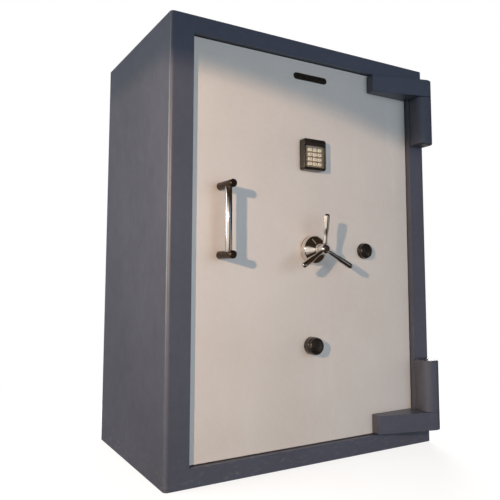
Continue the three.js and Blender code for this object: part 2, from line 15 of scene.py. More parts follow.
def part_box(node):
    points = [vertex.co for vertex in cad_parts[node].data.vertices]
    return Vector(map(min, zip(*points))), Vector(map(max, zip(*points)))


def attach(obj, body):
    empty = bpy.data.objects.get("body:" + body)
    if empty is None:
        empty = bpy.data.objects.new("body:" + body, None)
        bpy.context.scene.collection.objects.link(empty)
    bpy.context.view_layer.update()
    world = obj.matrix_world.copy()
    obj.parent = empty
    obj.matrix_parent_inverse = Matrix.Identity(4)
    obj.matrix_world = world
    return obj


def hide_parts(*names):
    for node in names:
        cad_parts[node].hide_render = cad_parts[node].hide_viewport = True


MM = 0.001
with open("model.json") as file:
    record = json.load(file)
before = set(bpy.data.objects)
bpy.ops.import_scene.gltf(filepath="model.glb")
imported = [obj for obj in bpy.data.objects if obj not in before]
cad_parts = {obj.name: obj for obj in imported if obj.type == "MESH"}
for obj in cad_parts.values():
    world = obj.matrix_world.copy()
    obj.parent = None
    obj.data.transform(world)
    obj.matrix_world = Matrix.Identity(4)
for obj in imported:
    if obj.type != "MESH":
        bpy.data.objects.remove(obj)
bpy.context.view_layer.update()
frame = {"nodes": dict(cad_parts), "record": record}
scene = bpy.context.scene


# ------------------------------------------------------------------ camera
def make_camera():
    """The main viewpoint: from the front left, below mid height, looking slightly up."""
    data = bpy.data.cameras.new("camera")
    data.lens = 41.27
    data.sensor_width = 36.0
    data.shift_y = -0.0526
    camera = bpy.data.objects.new("camera", data)
    camera.location = (-1.2547, -2.0277, 0.6532)
    yaw, pitch, roll = math.radians(-30.236), math.radians(5.323), math.radians(0.134)
    turn = Matrix.Rotation(yaw, 3, "Z") @ Matrix.Rotation(math.pi / 2 + pitch, 3, "X")
    camera.rotation_euler = (turn @ Matrix.Rotation(roll, 3, "Z")).to_euler()
    scene.collection.objects.link(camera)
    scene.camera = camera


make_camera()


# ------------------------------------------------------------------ node helpers
class Surface:
    """A Principled material whose colour, roughness and bump are built from object-space patterns."""

    def __init__(self, name, metallic=0.0, **sockets):
        self.material = bpy.data.materials.new(name)
        self.material.use_nodes = True
        self.tree = self.material.node_tree
        self.shader = self.tree.nodes["Principled BSDF"]
        self.shader.inputs["Metallic"].default_value = metallic
        for socket, value in sockets.items():
            self.shader.inputs[socket.replace("_", " ")].default_value = value
        self.place = self.add("ShaderNodeTexCoord").outputs["Object"]

    def add(self, kind, links=None, **settings):
        """A node with its properties, socket values and incoming links set."""
        node = self.tree.nodes.new(kind)
        for name, value in settings.items():
            if hasattr(node, name):
                setattr(node, name, value)
            else:
                node.inputs[name.replace("_", " ")].default_value = value
        for name, source in (links or {}).items():
            self.tree.links.new(source, node.inputs[name])
        return node

    def stretched(self, scale):
        """Object coordinates multiplied by scale, so that a pattern can run along one axis."""
        return self.add("ShaderNodeMapping", {"Vector": self.place}, Scale=scale).outputs[0]

    def noise(self, scale, detail=3.0, roughness=0.55, vector=None):
        links = {"Vector": vector or self.place}
        node = self.add("ShaderNodeTexNoise", links, Scale=scale, Detail=detail, Roughness=roughness)
        return node.outputs["Fac"]

    def cells(self, scale):
        """The outputs of a cell pattern: distance to the nearest centre, and a colour for each cell."""
        return self.add("ShaderNodeTexVoronoi", {"Vector": self.place}, Scale=scale).outputs

    def ramp(self, source, *stops):
        """A colour ramp; each stop is (position, colour or grey)."""
        node = self.add("ShaderNodeValToRGB", {"Fac": source})
        band = node.color_ramp.elements
        while len(band) < len(stops):
            band.new(0.5)
        for element, (position, colour) in zip(band, stops):
            element.position = position
            element.color = (colour,) * 3 + (1,) if isinstance(colour, float) else (*colour, 1)
        return node.outputs["Color"]

    def math(self, operation, first, second):
        node = self.add("ShaderNodeMath", operation=operation)
        for i, value in enumerate((first, second)):
            if isinstance(value, (int, float)):
                node.inputs[i].default_value = value
            else:
                self.tree.links.new(value, node.inputs[i])
        return node.outputs[0]

    def mix(self, factor, first, second, blend="MIX"):
        """Mixes two colours; factor, first and second are sockets or values."""
        node = self.add("ShaderNodeMix", data_type="RGBA", blend_type=blend)
        for i, value in ((0, factor), (6, first), (7, second)):
            if isinstance(value, (int, float)):
                node.inputs[i].default_value = value
            elif isinstance(value, tuple):
                node.inputs[i].default_value = (*value, 1)
            else:
                self.tree.links.new(value, node.inputs[i])
        return node.outputs[2]

    def remap(self, source, low, high):
        """A 0 to 1 pattern moved to low to high."""
        return self.add("ShaderNodeMapRange", {"Value": source}, To_Min=low, To_Max=high).outputs[0]

    def edges(self, radius, low=0.02, high=0.2):
        """1 along sharp edges and 0 on flats, from how far a rounded normal leans from the true one."""
        rounded = self.add("ShaderNodeBevel", samples=4, Radius=radius).outputs[0]
        true = self.add("ShaderNodeNewGeometry").outputs["Normal"]
        lean = self.add("ShaderNodeVectorMath", operation="DOT_PRODUCT")
        self.tree.links.new(rounded, lean.inputs[0])
        self.tree.links.new(true, lean.inputs[1])
        away = self.math("SUBTRACT", 1.0, lean.outputs["Value"])
        node = self.add("ShaderNodeMapRange", {"Value": away}, From_Min=low, From_Max=high)
        return node.outputs[0]

    def height(self):
        return self.add("ShaderNodeSeparateXYZ", {"Vector": self.place}).outputs["Z"]

    def colour(self, source):
        self.tree.links.new(source, self.shader.inputs["Base Color"])

    def roughness(self, source):
        self.tree.links.new(source, self.shader.inputs["Roughness"])

    def bump(self, *layers):
        """Bump layers, each (height socket, distance in metres, strength), from coarse to fine."""
        normal = None
        for height, distance, strength in layers:
            node = self.add("ShaderNodeBump", {"Height": height}, Distance=distance, Strength=strength)
            if normal is not None:
                self.tree.links.new(normal, node.inputs["Normal"])
            normal = node.outputs[0]
        self.tree.links.new(normal, self.shader.inputs["Normal"])


# ------------------------------------------------------------------ materials
def body_paint():
    """Slate satin enamel, brushed and rolled on, with chipped edges and scuffs near the floor."""
    s = Surface("body_paint", Coat_Weight=0.2, Coat_Roughness=0.3)
    broad = s.ramp(s.noise(2.2, 4.0), (0.3, (0.070, 0.076, 0.105)), (0.7, (0.087, 0.095, 0.129)))
    mottle = s.ramp(s.noise(38.0, 6.0, 0.65), (0.35, 0.44), (0.7, 0.56))
    toned = s.mix(0.55, broad, mottle, "OVERLAY")
    chips = s.math("MULTIPLY", s.edges(2.5 * MM), s.ramp(s.noise(70.0, 5.0, 0.7), (0.5, 0.0), (0.62, 1.0)))
    worn = s.mix(s.math("MULTIPLY", chips, 0.6), toned, (0.30, 0.31, 0.33))
    low = s.add("ShaderNodeMapRange", {"Value": s.height()}, From_Min=0.16, From_Max=0.0).outputs[0]
    scuff = s.ramp(s.noise(26.0, 8.0, 0.75, s.stretched((1, 1, 3))), (0.55, 0.0), (0.68, 1.0))
    s.colour(s.mix(s.math("MULTIPLY", s.math("MULTIPLY", low, scuff), 0.5), worn, (0.26, 0.25, 0.24)))
    s.roughness(s.remap(s.noise(14.0, 5.0), 0.36, 0.52))
    s.bump((s.noise(30.0, 3.0), 1.2 * MM, 0.12), (s.noise(420.0, 2.0), 0.25 * MM, 0.35))
    return s.material


def door_paint():
    """Warm white gloss enamel with a faint orange peel, hand smudges and fine wiping marks."""
    s = Surface("door_paint", Coat_Weight=0.25, Coat_Roughness=0.2)
    broad = s.ramp(s.noise(3.0, 4.0), (0.3, (0.655, 0.600, 0.555)), (0.7, (0.700, 0.650, 0.610)))
    speckle = s.ramp(s.noise(60.0, 6.0, 0.7), (0.35, 0.47), (0.7, 0.53))
    toned = s.mix(0.5, broad, speckle, "OVERLAY")
    wipes = s.ramp(s.noise(9.0, 7.0, 0.7, s.stretched((1.0, 1.0, 0.25))), (0.58, 0.0), (0.72, 1.0))
    toned = s.mix(s.math("MULTIPLY", wipes, 0.22), toned, (0.80, 0.78, 0.76))
    grime = s.math("MULTIPLY", s.edges(6 * MM, 0.01, 0.3), s.noise(24.0, 4.0))
    s.colour(s.mix(s.math("MULTIPLY", grime, 0.6), toned, (0.30, 0.26, 0.22)))
    s.roughness(s.remap(s.noise(11.0, 6.0, 0.65), 0.26, 0.44))
    s.bump((s.noise(12.0, 2.0), 1.5 * MM, 0.06), (s.noise(330.0, 2.0), 0.2 * MM, 0.25))
    return s.material


def chrome():
    """Polished plate with a faint haze, finger marks and hairline scratches."""
    s = Surface("chrome", metallic=1.0)
    s.colour(s.ramp(s.noise(18.0, 5.0), (0.35, (0.74, 0.72, 0.70)), (0.7, (0.86, 0.85, 0.84))))
    haze = s.ramp(s.noise(45.0, 6.0, 0.7), (0.45, 0.05), (0.75, 0.2))
    hairs = s.ramp(s.noise(900.0, 2.0, 0.5, s.stretched((1, 1, 0.04))), (0.6, 0.0), (0.8, 0.12))
    s.roughness(s.math("ADD", haze, hairs))
    s.bump((s.noise(600.0, 2.0, 0.5, s.stretched((1, 1, 0.06))), 0.02 * MM, 0.25))
    return s.material


def dark_bronze():
    """Blackened bronze, rubbed brighter where hands hold it."""
    s = Surface("dark_bronze", metallic=0.85)
    tone = s.ramp(s.noise(35.0, 6.0, 0.65), (0.35, (0.030, 0.021, 0.015)), (0.7, (0.085, 0.060, 0.042)))
    rub = s.math("MULTIPLY", s.edges(3 * MM), s.noise(80.0, 4.0))
    s.colour(s.mix(s.math("MULTIPLY", rub, 0.9), tone, (0.35, 0.25, 0.17)))
    s.roughness(s.remap(s.noise(60.0, 5.0), 0.22, 0.42))
    s.bump((s.noise(500.0, 3.0), 0.05 * MM, 0.3))
    return s.material


def black_metal():
    """Black stove enamel, glossy, with a painted brown highlight along its edges."""
    s = Surface("black_metal", Coat_Weight=0.4, Coat_Roughness=0.12)
    tone = s.ramp(s.noise(50.0, 5.0), (0.35, (0.008, 0.007, 0.006)), (0.7, (0.020, 0.015, 0.011)))
    # painted highlight: brown laid along the edges, broken up by noise
    painted_edge_highlight = s.math("MULTIPLY", s.edges(1.6 * MM), s.noise(120.0, 4.0))
    s.colour(s.mix(s.math("MULTIPLY", painted_edge_highlight, 0.8), tone, (0.16, 0.09, 0.05)))
    s.roughness(s.remap(s.noise(70.0, 5.0), 0.2, 0.38))
    s.bump((s.noise(700.0, 2.0), 0.05 * MM, 0.35))
    return s.material


def champagne():
    """Sideways-brushed champagne metal for the keypad's face."""
    s = Surface("champagne", metallic=0.75)
    grain = s.noise(900.0, 3.0, 0.6, s.stretched((0.02, 1, 1)))
    s.colour(s.ramp(grain, (0.35, (0.40, 0.32, 0.22)), (0.7, (0.60, 0.51, 0.37))))
    s.roughness(s.remap(grain, 0.3, 0.48))
    s.bump((grain, 0.03 * MM, 0.5))
    return s.material


def key_cream():
    """Cream moulded plastic with a fine spark texture and a little yellowing."""
    s = Surface("key_cream", Subsurface_Weight=0.08, Subsurface_Scale=0.002)
    s.colour(s.ramp(s.noise(90.0, 5.0), (0.3, (0.74, 0.66, 0.51)), (0.75, (0.84, 0.78, 0.65))))
    s.roughness(s.remap(s.noise(140.0, 4.0), 0.4, 0.58))
    s.bump((s.noise(2600.0, 2.0), 0.03 * MM, 0.5))
    return s.material


def barrier():
    """Cast concrete with aggregate and pores."""
    s = Surface("barrier")
    cells = s.cells(140.0)
    stones = s.ramp(cells["Distance"], (0.2, (0.36, 0.34, 0.31)), (0.5, (0.27, 0.26, 0.245)))
    s.colour(s.mix(0.5, stones, s.ramp(s.noise(300.0, 6.0), (0.3, 0.3), (0.7, 0.7)), "OVERLAY"))
    s.roughness(s.remap(s.noise(60.0, 5.0), 0.8, 0.98))
    s.bump((cells["Distance"], 1.0 * MM, 0.4), (s.noise(800.0, 5.0), 0.3 * MM, 0.6))
    return s.material


def bare_steel():
    """Cold-rolled sheet with mill lines and a light oil film."""
    s = Surface("bare_steel", metallic=0.95)
    lines = s.noise(300.0, 4.0, 0.6, s.stretched((1, 1, 0.03)))
    tone = s.ramp(lines, (0.3, (0.33, 0.34, 0.35)), (0.7, (0.50, 0.50, 0.51)))
    s.colour(s.mix(0.35, tone, s.ramp(s.noise(20.0, 6.0), (0.35, 0.35), (0.7, 0.62)), "OVERLAY"))
    s.roughness(s.remap(lines, 0.28, 0.46))
    s.bump((lines, 0.03 * MM, 0.4))
    return s.material


def zinc():
    """Bright zinc plate with a pale yellow-blue passivation and a fine spangle."""
    s = Surface("zinc", metallic=0.95)
    spangle = s.cells(160.0)["Color"]
    tints = ((0.3, (0.52, 0.52, 0.56)), (0.5, (0.60, 0.58, 0.50)), (0.72, (0.55, 0.56, 0.60)))
    tint = s.ramp(s.noise(40.0, 5.0), *tints)
    s.colour(s.mix(0.18, tint, spangle, "SOFT_LIGHT"))
    s.roughness(s.remap(s.noise(120.0, 5.0), 0.22, 0.42))
    s.bump((s.noise(300.0, 4.0), 0.04 * MM, 0.4))
    return s.material


def carpet():
    """Short-pile grey carpet: clumped tufts with a soft sheen."""
    s = Surface("carpet", Sheen_Weight=0.5, Sheen_Roughness=0.6)
    tufts = s.cells(520.0)
    clumps = s.noise(45.0, 6.0, 0.7)
    pile = s.ramp(tufts["Distance"], (0.1, (0.240, 0.228, 0.214)), (0.7, (0.092, 0.087, 0.082)))
    s.colour(s.mix(0.5, pile, s.ramp(clumps, (0.3, 0.38), (0.7, 0.6)), "OVERLAY"))
    s.roughness(s.remap(clumps, 0.86, 1.0))
    s.bump((clumps, 1.5 * MM, 0.5), (tufts["Distance"], 1.2 * MM, 0.9))
    return s.material


def seal():
    """Matt black intumescent strip with a ribbed face."""
    s = Surface("seal")
    s.colour(s.ramp(s.noise(200.0, 5.0), (0.3, (0.016, 0.016, 0.017)), (0.7, (0.040, 0.040, 0.042))))
    s.roughness(s.remap(s.noise(90.0, 4.0), 0.65, 0.85))
    s.bump((s.noise(900.0, 3.0), 0.15 * MM, 0.5))
    return s.material


def ink():
    """Printed digits: dark brown-black, slightly raised."""
    s = Surface("ink")
    s.colour(s.ramp(s.noise(400.0, 3.0), (0.3, (0.015, 0.012, 0.010)), (0.7, (0.045, 0.038, 0.030))))
    s.roughness(s.remap(s.noise(300.0, 3.0), 0.45, 0.6))
    s.bump((s.noise(1500.0, 2.0), 0.02 * MM, 0.4))
    return s.material


def dark_lens():
    """Smoked window over the keypad's indicator lamps."""
    s = Surface("dark_lens", Coat_Weight=0.6, Coat_Roughness=0.05)
    s.colour(s.ramp(s.noise(120.0, 3.0), (0.3, (0.20, 0.18, 0.165)), (0.7, (0.27, 0.25, 0.23))))
    s.roughness(s.remap(s.noise(80.0, 3.0), 0.12, 0.2))
    s.bump((s.noise(300.0, 2.0), 0.02 * MM, 0.2))
    return s.material


MATERIALS = {make.__name__: make() for make in (
    body_paint, door_paint, chrome, dark_bronze, black_metal, champagne, key_cream, barrier,
    bare_steel, zinc, carpet, seal, ink, dark_lens)}
SLOT_OF = {row["node"]: row["material_slot"] for row in frame["record"]["subparts"]}
BODY_OF = {n: body for body, nodes in frame["record"]["behaviour"]["bodies"].items() for n in nodes}


# ------------------------------------------------------------------ mesh helpers
SIDE_SHARE = 0.49  # the most of a side that one corner's arc may take up
ON_AXIS = 1e-7  # metres: a lathe point nearer to the axis than this is a pole
BEVEL_ANGLE = math.radians(30)  # edges that turn by less than this are not rounded
ROUND_SIDES = 10  # corners round a cord or a weld bead


def make_object(name, vertices, faces):
    mesh = bpy.data.meshes.new(name)
    mesh.from_pydata(vertices, [], faces)
    mesh.validate()
    piece = bpy.data.objects.new(name, mesh)
    scene.collection.objects.link(piece)
    return piece


def smooth(piece, angle=35.0):
    """Smooth shading with creases kept where faces meet at more than angle degrees."""
    piece.data.shade_smooth()
    piece.data.set_sharp_from_angle(angle=math.radians(angle))


def settle(piece, node, slot=None, look=None, replaces=True):
    """Puts a new piece on a CAD node's body, with a slot's finish; replaces hides the CAD node's own mesh."""
    slot = slot or SLOT_OF[node]
    piece.data.materials.clear()
    piece.data.materials.append(MATERIALS[look or slot])
    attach(piece, BODY_OF[node])
    if replaces:
        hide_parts(node)


def filleted(points, radius, steps=6):
    """A polyline whose inner corners are turned into arcs; radius is cut back on short sides."""
    result = [Vector(points[0])]
    for before, corner, after in zip(points, points[1:], points[2:]):
        before, corner, after = Vector(before), Vector(corner), Vector(after)
        room = min((before - corner).length, (after - corner).length) * SIDE_SHARE
        reach = min(radius, room)
        start = corner + (before - corner).normalized() * reach
        end = corner + (after - corner).normalized() * reach
        for i in range(steps + 1):
            t = i / steps
            result.append(start * (1 - t) ** 2 + corner * 2 * t * (1 - t) + end * t ** 2)
    result.append(Vector(points[-1]))
    return [tuple(p) for p in result]


def lathe(name, origin, axis, profile, segments=96):
    """Turns (radius, distance) points about axis through origin; a point of radius 0 is a pole."""
    axis = Vector(axis).normalized()
    side = axis.orthogonal().normalized()
    other = axis.cross(side)
    vertices, rings = [], []
    for radius, along in profile:
        centre = Vector(origin) + axis * along
        if radius < ON_AXIS:
            rings.append([len(vertices)] * segments)
            vertices.append(centre)
            continue
        rings.append(list(range(len(vertices), len(vertices) + segments)))
        for i in range(segments):
            angle = 2 * math.pi * i / segments
            vertices.append(centre + (side * math.cos(angle) + other * math.sin(angle)) * radius)
    faces = []
    for first, second in zip(rings, rings[1:]):
        for i in range(segments):
            j = (i + 1) % segments
            corners = [first[i], first[j], second[j], second[i]]
            face = [v for k, v in enumerate(corners) if v not in corners[:k]]
            if len(face) > 2:
                faces.append(face)
    piece = make_object(name, vertices, faces)
    smooth(piece)
    return piece


def bevelled(piece, width, segments):
    modifier = piece.modifiers.new("rounded_edges", "BEVEL")
    modifier.width = width
    modifier.segments = segments
    modifier.limit_method = "ANGLE"
    modifier.angle_limit = BEVEL_ANGLE


def shade_by_area(piece):
    """Smooth shading in which the large flats keep their own direction."""
    piece.data.polygons.foreach_set("use_smooth", [True] * len(piece.data.polygons))
    modifier = piece.modifiers.new("flat_faces_first", "WEIGHTED_NORMAL")
    modifier.mode = "FACE_AREA"
    modifier.weight = 100
    modifier.keep_sharp = False


def rounded_box(name, low, high, width, segments):
    """A box whose every edge is rounded by width."""
    mesh = bmesh.new()
    bmesh.ops.create_cube(mesh, size=1.0)
    low, high = Vector(low), Vector(high)
    for v in mesh.verts:
        v.co = Vector((low[i] + (high[i] - low[i]) * (v.co[i] + 0.5) for i in range(3)))
    bmesh.ops.bevel(mesh, geom=mesh.edges, offset=width, segments=segments, profile=0.5, affect="EDGES")
    data = bpy.data.meshes.new(name)
    mesh.to_mesh(data)
    mesh.free()
    piece = bpy.data.objects.new(name, data)
    scene.collection.objects.link(piece)
    smooth(piece)
    return piece


def dress_cad(node, width, segments):
    """Keeps a CAD node's own shape, with welded corners, rounded edges and its slot's material."""
    piece = frame["nodes"][node]
    piece.data.materials.clear()
    piece.data.materials.append(MATERIALS[SLOT_OF[node]])
    weld = piece.modifiers.new("weld", "WELD")
    weld.merge_threshold = 0.02 * MM
    flats = piece.modifiers.new("whole_flats", "DECIMATE")
    flats.decimate_type = "DISSOLVE"
    flats.angle_limit = math.radians(0.5)
    bevelled(piece, width, segments)
    shade_by_area(piece)


# ------------------------------------------------------------------ CAD nodes kept as they are
EDGE_ROUNDING = {  # millimetres
    "outer_shell": 1.2, "front_frame": 1.6, "inner_liner": 0.5, "composite_fill": 1.0, "door_seal": 0.6,
    "hinge_leg_top": 3.0, "hinge_leg_bottom": 3.0, "hinge_arm_top": 3.0, "hinge_arm_bottom": 3.0,
    "hinge_pin_top": 0.8, "hinge_pin_bottom": 0.8, "door_plate": 1.5, "door_core": 1.0,
    "boltwork_pan": 0.6, "drive_spindle": 0.25, "bolt_bar_left": 0.3, "bolt_bar_right": 0.3,
    "bolt_rod_top": 0.3, "bolt_rod_bottom": 0.3, "key_lock_right": 0.4, "key_lock_lower": 0.4,
    "electronic_lock": 1.5, "carpet_lining": 1.5, "divider_panel": 2.5, "top_shelf": 2.5,
    "side_shelf": 2.5, "barrel_rack": 3.0, "butt_rest": 3.0, "door_back_cover": 2.0,
}
for cad_node, rounding in EDGE_ROUNDING.items():
    dress_cad(cad_node, rounding * MM, 3 if rounding > 1 else 2)


# ------------------------------------------------------------------ round hardware
HUB_BOSS = 17 * MM  # radius of the boss in the middle of the hub
CONE_START, CONE_RISE = 0.261, 0.326  # where the hub's cone starts and how far it rises, in hub lengths
BOSS_EDGE = 0.945  # where the boss begins to narrow, in hub lengths
SPOKE_TILT = 7.0  # degrees that each spoke leans away from the door
SPOKE_START = 12 * MM  # where a spoke's line starts, from the hub's axis and from its front
BAR_INSET = 9 * MM  # how far each end of the pull bar stops short of its post's middle
KEY_BORE = 10.3 * MM  # the hole in an escutcheon round its key cylinder
COVER_GAP = 0.5 * MM  # between an escutcheon and its swing cover
COVER_PIVOT_INSET = 8 * MM  # from the escutcheon's rim in to the cover's pivot


def centre_of(node):
    low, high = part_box(node)
    return (low + high) / 2


def make_hub():
    """A turned hub: a drum with a groove near its foot, a shallow cone up to the boss, a softened end."""
    low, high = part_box("handle_hub")
    centre = centre_of("handle_hub")
    drum, length = (high.x - low.x) / 2, high.y - low.y
    cone = (
        (1, 0), (0.985, 0.07), (0.94, 0.14), (0.81, 0.26), (0.63, 0.385), (0.45, 0.505), (0.3, 0.61),
        (0.18, 0.70), (0.1, 0.77), (0.045, 0.84), (0, 1),
    )
    outline = [
        (0, 0), (drum, 0), (drum, 4 * MM), (drum - 0.9 * MM, 4.6 * MM), (drum - 0.9 * MM, 5.8 * MM),
        (drum, 6.4 * MM),
    ]
    for out, along in cone:
        outline.append((HUB_BOSS + (drum - HUB_BOSS) * out, length * (CONE_START + CONE_RISE * along)))
    outline += [(HUB_BOSS, BOSS_EDGE * length), (HUB_BOSS - 5 * MM, length), (0, length)]
    hub = lathe("handle_hub_fine", (centre.x, high.y, centre.z), (0, -1, 0), filleted(outline, 2 * MM), 128)
    settle(hub, "handle_hub")


make_hub()


def make_spoke(node):
    """A polished spoke: slim root, swelling grip and domed end, along the CAD spoke's own axis."""
    hub_low, hub_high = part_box("handle_hub")
    hub = (hub_low + hub_high) / 2
    up_low, up_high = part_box("spoke_up")
    grip = (up_high.x - up_low.x) / 2
    tilt = math.radians(SPOKE_TILT)
    reach = (up_high.z - hub.z) / math.cos(tilt) - SPOKE_START
    centre = centre_of(node)
    out = Vector((centre.x - hub.x, 0, centre.z - hub.z)).normalized()
    axis = out * math.cos(tilt) + Vector((0, -1, 0)) * math.sin(tilt)
    root = Vector((hub.x, hub_low.y + SPOKE_START, hub.z)) + out * SPOKE_START
    start, slim = 6 * MM, 0.68 * grip
    outline = [
        (0, start), (slim, start), (slim, 34 * MM), (slim + 0.6 * MM, 42 * MM), (grip - 0.6 * MM, 62 * MM),
        (grip - 0.1 * MM, 80 * MM), (grip - 0.1 * MM, reach - 12 * MM), (grip - 0.6 * MM, reach - 7 * MM),
        (0.76 * grip, reach - 2.5 * MM), (0.44 * grip, reach - 0.6 * MM), (0, reach - 0.2 * MM),
    ]
    settle(lathe(node + "_fine", root, axis, filleted(outline, 6 * MM), 64), node)


for direction in ("up", "left", "right"):
    make_spoke("spoke_" + direction)


def make_posts_and_bar():
    """Dark posts with grooved collars, and the polished bar between them."""
    for node in ("pull_post_upper", "pull_post_lower"):
        low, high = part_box(node)
        centre = (low + high) / 2
        radius, length = (high.x - low.x) / 2, high.y - low.y
        outline = [
            (0, 0), (radius, 0), (radius, 5 * MM), (radius - 1 * MM, 6 * MM), (radius - 1 * MM, 7.5 * MM),
            (radius, 8.5 * MM), (radius, length - 8 * MM), (radius - 0.8 * MM, length - 7 * MM),
            (radius - 0.8 * MM, length - 5.8 * MM), (radius, length - 4.8 * MM),
            (radius - 0.4 * MM, length - 3 * MM), (radius - 3.5 * MM, length - 0.4 * MM), (0, length),
        ]
        post = lathe(node + "_fine", (centre.x, high.y, centre.z), (0, -1, 0),
                     filleted(outline, 1.2 * MM, 4), 80)
        settle(post, node)
    low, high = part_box("pull_bar")
    centre = (low + high) / 2
    radius = (high.x - low.x) / 2
    top = centre_of("pull_post_upper").z
    bottom = centre_of("pull_post_lower").z
    length = top - bottom - 2 * BAR_INSET
    outline = [(0, 0), (radius, 0), (radius, length), (0, length)]
    bar = lathe("pull_bar_fine", (centre.x, centre.y, bottom + BAR_INSET), (0, 0, 1),
                filleted(outline, 0.3 * MM, 2), 96)
    settle(bar, "pull_bar")


make_posts_and_bar()


def make_key_lock(place):
    """Round escutcheon with a stepped collar, and the flat-faced swing cover that hangs over the keyway."""
    low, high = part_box("key_escutcheon_" + place)
    centre = (low + high) / 2
    radius, depth = (high.x - low.x) / 2, high.y - low.y
    outline = [
        (KEY_BORE, 0), (radius, 0), (radius, depth - 4 * MM), (radius - 1.5 * MM, depth - 1.5 * MM),
        (radius - 4 * MM, depth), (KEY_BORE, depth), (KEY_BORE, 0),
    ]
    ring = lathe("key_escutcheon_%s_fine" % place, (centre.x, high.y, centre.z), (0, -1, 0),
                 filleted(outline, 1.2 * MM, 4), 96)
    settle(ring, "key_escutcheon_" + place)
    cover_low, cover_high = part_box("key_cover_" + place)
    reach = (cover_high.x - cover_low.x) / 2
    back = low.y - COVER_GAP
    thick = back - cover_low.y
    face = [
        (0, 0), (reach, 0), (reach, 0.4 * thick), (reach - 1.2 * MM, 0.62 * thick),
        (reach - 4.2 * MM, 0.80 * thick), (reach - 9 * MM, 0.90 * thick), (reach - 11 * MM, 0.90 * thick),
        (reach - 13 * MM, 0.97 * thick), (0.25 * reach, thick), (0, thick),
    ]
    cover = lathe("key_cover_%s_fine" % place, (centre.x, back, centre.z), (0, -1, 0),
                  filleted(face, 1.6 * MM), 96)
    settle(cover, "key_cover_" + place)
    head = [(0, 0), (3.4 * MM, 0), (3.4 * MM, 0.8 * MM), (2.4 * MM, 1.9 * MM), (0, 2.2 * MM)]
    rise = radius - COVER_PIVOT_INSET
    pin = lathe("cover_pivot_" + place, (centre.x, back - 0.62 * thick, centre.z + rise), (0, -1, 0),
                filleted(head, 0.6 * MM, 3), 32)
    settle(pin, "key_cover_" + place, slot="zinc", replaces=False)


for place in ("right", "lower"):
    make_key_lock(place)


def make_bolt(node):
    """A chromed locking bolt with a chamfered, slightly crowned nose."""
    low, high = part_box(node)
    centre = (low + high) / 2
    left = "left" in node
    radius, length = (high.z - low.z) / 2, high.x - low.x
    origin = (high.x if left else low.x, centre.y, centre.z)
    outline = [
        (0, 0), (radius, 0), (radius, length - 4 * MM), (radius - 3.5 * MM, length - 0.5 * MM), (0, length),
    ]
    bolt = lathe(node + "_fine", origin, (-1 if left else 1, 0, 0), filleted(outline, 1.0 * MM, 4), 64)
    settle(bolt, node)


for side in ("left", "right"):
    for number in (1, 2, 3):
        make_bolt("locking_bolt_%s_%d" % (side, number))


# ------------------------------------------------------------------ flat hardware
def rounded_outline(half_x, half_z, radius, steps=8):
    """A rounded rectangle about the origin, as (x, z) points."""
    points = []
    for sx, sz, start in ((1, 1, 0), (-1, 1, 90), (-1, -1, 180), (1, -1, 270)):
        for i in range(steps + 1):
            angle = math.radians(start + 90 * i / steps)
            points.append((sx * (half_x - radius) + radius * math.cos(angle),
                           sz * (half_z - radius) + radius * math.sin(angle)))
    return points


def stacked(name, centre, layers):
    """A piece facing -Y built of outline layers: each (outline, distance in front of centre.y)."""
    vertices, faces = [], []
    count = len(layers[0][0])
    for outline, away in layers:
        vertices += [(centre.x + x, centre.y - away, centre.z + z) for x, z in outline]
    for layer in range(len(layers) - 1):
        for i in range(count):
            j = (i + 1) % count
            base = layer * count
            faces.append((base + i, base + j, base + count + j, base + count + i))
    last = (len(layers) - 1) * count
    faces.append(tuple(range(count))[::-1])
    faces.append(tuple(range(last, last + count)))
    piece = make_object(name, vertices, faces)
    bm = bmesh.new()
    bm.from_mesh(piece.data)
    bmesh.ops.recalc_face_normals(bm, faces=bm.faces)
    bm.to_mesh(piece.data)
    bm.free()
    smooth(piece)
    return piece


def make_badge():
    """A plain lozenge plate with a raised rim and a sunk, blank middle."""
    low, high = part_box("badge_plate")
    centre = Vector(((low.x + high.x) / 2, high.y, (low.z + high.z) / 2))
    half_x, half_z, thick = (high.x - low.x) / 2, (high.z - low.z) / 2, high.y - low.y

    def outline(inset):
        return rounded_outline(half_x - inset, half_z - inset, half_z - inset - 0.05 * MM, 12)

    plate = stacked("badge_plate_fine", centre, [
        (outline(0), 0), (outline(0), thick - 1.2 * MM), (outline(0.4 * MM), thick - 0.3 * MM),
        (outline(1.2 * MM), thick), (outline(2.0 * MM), thick), (outline(2.5 * MM), thick - 0.3 * MM),
        (outline(2.8 * MM), thick - 0.9 * MM),
    ])
    settle(plate, "badge_plate")


make_badge()


# ------------------------------------------------------------------ keypad
DIGITS = ("1", "2", "3", "4", "5", "6", "7", "8", "9", "*", "0", "#")
KEY_TRAVEL_ROOM = 2.2 * MM  # behind each key: its 1.5 mm travel and a little air
KEY_SIDE_ROOM = 0.4 * MM  # between a key and the edge of its well
LEAST_FLOOR = 1 * MM  # the shell is at least this thick behind the keys
PLATE_SINK = 4 * MM  # the brushed plate is at least this far behind the fronts of keys and housing
SHELL_SIDE, SHELL_FOOT, SHELL_HEAD = 7 * MM, 10 * MM, 25 * MM  # borders of the shell round its opening
WINDOW_INSET = 4 * MM  # from the sides of the opening in to the lamp window


def make_digit(text, node, top_y):
    """The key's printed digit as a shallow raised mesh."""
    curve = bpy.data.curves.new("digit", "FONT")
    curve.body = text
    curve.size = 9.5 * MM
    curve.extrude = 0.12 * MM
    curve.align_x = "CENTER"
    curve.align_y = "CENTER"
    holder = bpy.data.objects.new("digit", curve)
    scene.collection.objects.link(holder)
    bpy.context.view_layer.update()
    mesh = bpy.data.meshes.new_from_object(holder.evaluated_get(bpy.context.evaluated_depsgraph_get()))
    bpy.data.objects.remove(holder)
    centre = centre_of(node)
    mesh.transform(Matrix.Translation((centre.x, top_y, centre.z)) @ Matrix.Rotation(math.pi / 2, 4, "X"))
    piece = bpy.data.objects.new("digit_" + node, mesh)
    scene.collection.objects.link(piece)
    settle(piece, node, look="ink", replaces=False)


